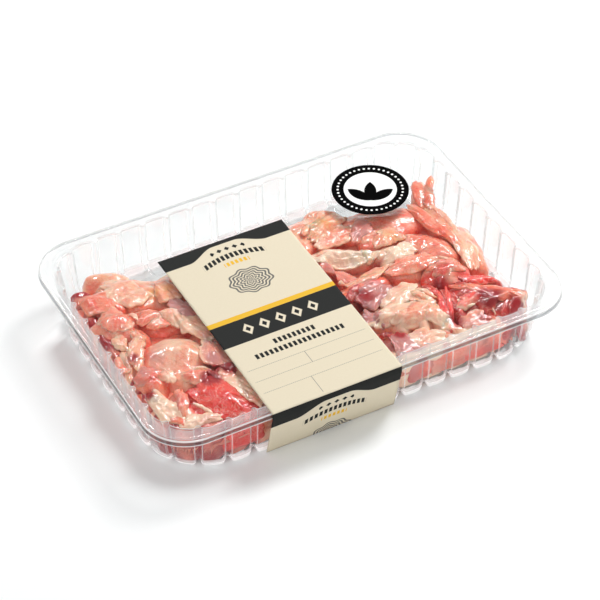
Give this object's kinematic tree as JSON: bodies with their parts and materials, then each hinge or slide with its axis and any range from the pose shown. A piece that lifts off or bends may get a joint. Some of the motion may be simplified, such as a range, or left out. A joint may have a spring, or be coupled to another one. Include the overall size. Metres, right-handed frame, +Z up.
{
  "type": "tray pack of raw chicken thigh fillets",
  "caption": "Sealed clear tray of raw boneless chicken thigh fillets, with a clear film lid, a paper label folded over the front edge and a round sticker",
  "frame": {"origin": "under the middle of the pack, on the surface that it stands on", "axes": "+X along the long side of the tray, +Y from the labelled front to the back, +Z up"},
  "size_m": [0.2314, 0.1631, 0.0318],
  "materials": {
    "clear_tray": "clear glossy thermoformed plastic",
    "clear_film": "clear glossy film",
    "label_paper": "coated paper, charcoal, yellow and beige",
    "sticker_paper": "coated paper, black and white",
    "meat_peach": "wet raw poultry, pale peach",
    "meat_salmon": "wet raw poultry, salmon",
    "meat_pink": "wet raw poultry, pink",
    "meat_red": "wet raw poultry, red",
    "meat_deep_red": "wet raw poultry, deep red",
    "meat_cream": "wet poultry fat and skin, cream"
  },
  "bodies": {
    "root": {"tray": "clear_tray", "lid_film": "clear_film", "label": "label_paper", "round_sticker": "sticker_paper", "fillet_left_dome": "meat_peach", "fillet_front_left_red": "meat_red", "fillet_left_brown": "meat_salmon", "fillet_left_curl": "meat_peach", "fillet_left_fibrous": "meat_pink", "fillet_left_salmon": "meat_salmon", "fillet_left_pink": "meat_pink", "fillet_back_left": "meat_peach", "fillet_label_left": "meat_cream", "fillet_right_oval": "meat_pink", "fillet_right_red": "meat_red", "fillet_ridged_skin": "meat_cream", "fillet_dark_strands": "meat_deep_red", "fillet_label_right": "meat_salmon", "fillet_right_cream": "meat_cream", "fillet_right_strip": "meat_peach", "fillet_right_pink": "meat_pink", "fillet_back_right": "meat_peach", "fillet_front_right": "meat_pink", "fillet_middle_back": "meat_pink", "fillet_middle": "meat_peach", "fillet_middle_front": "meat_salmon"}
  },
  "joints": []
}
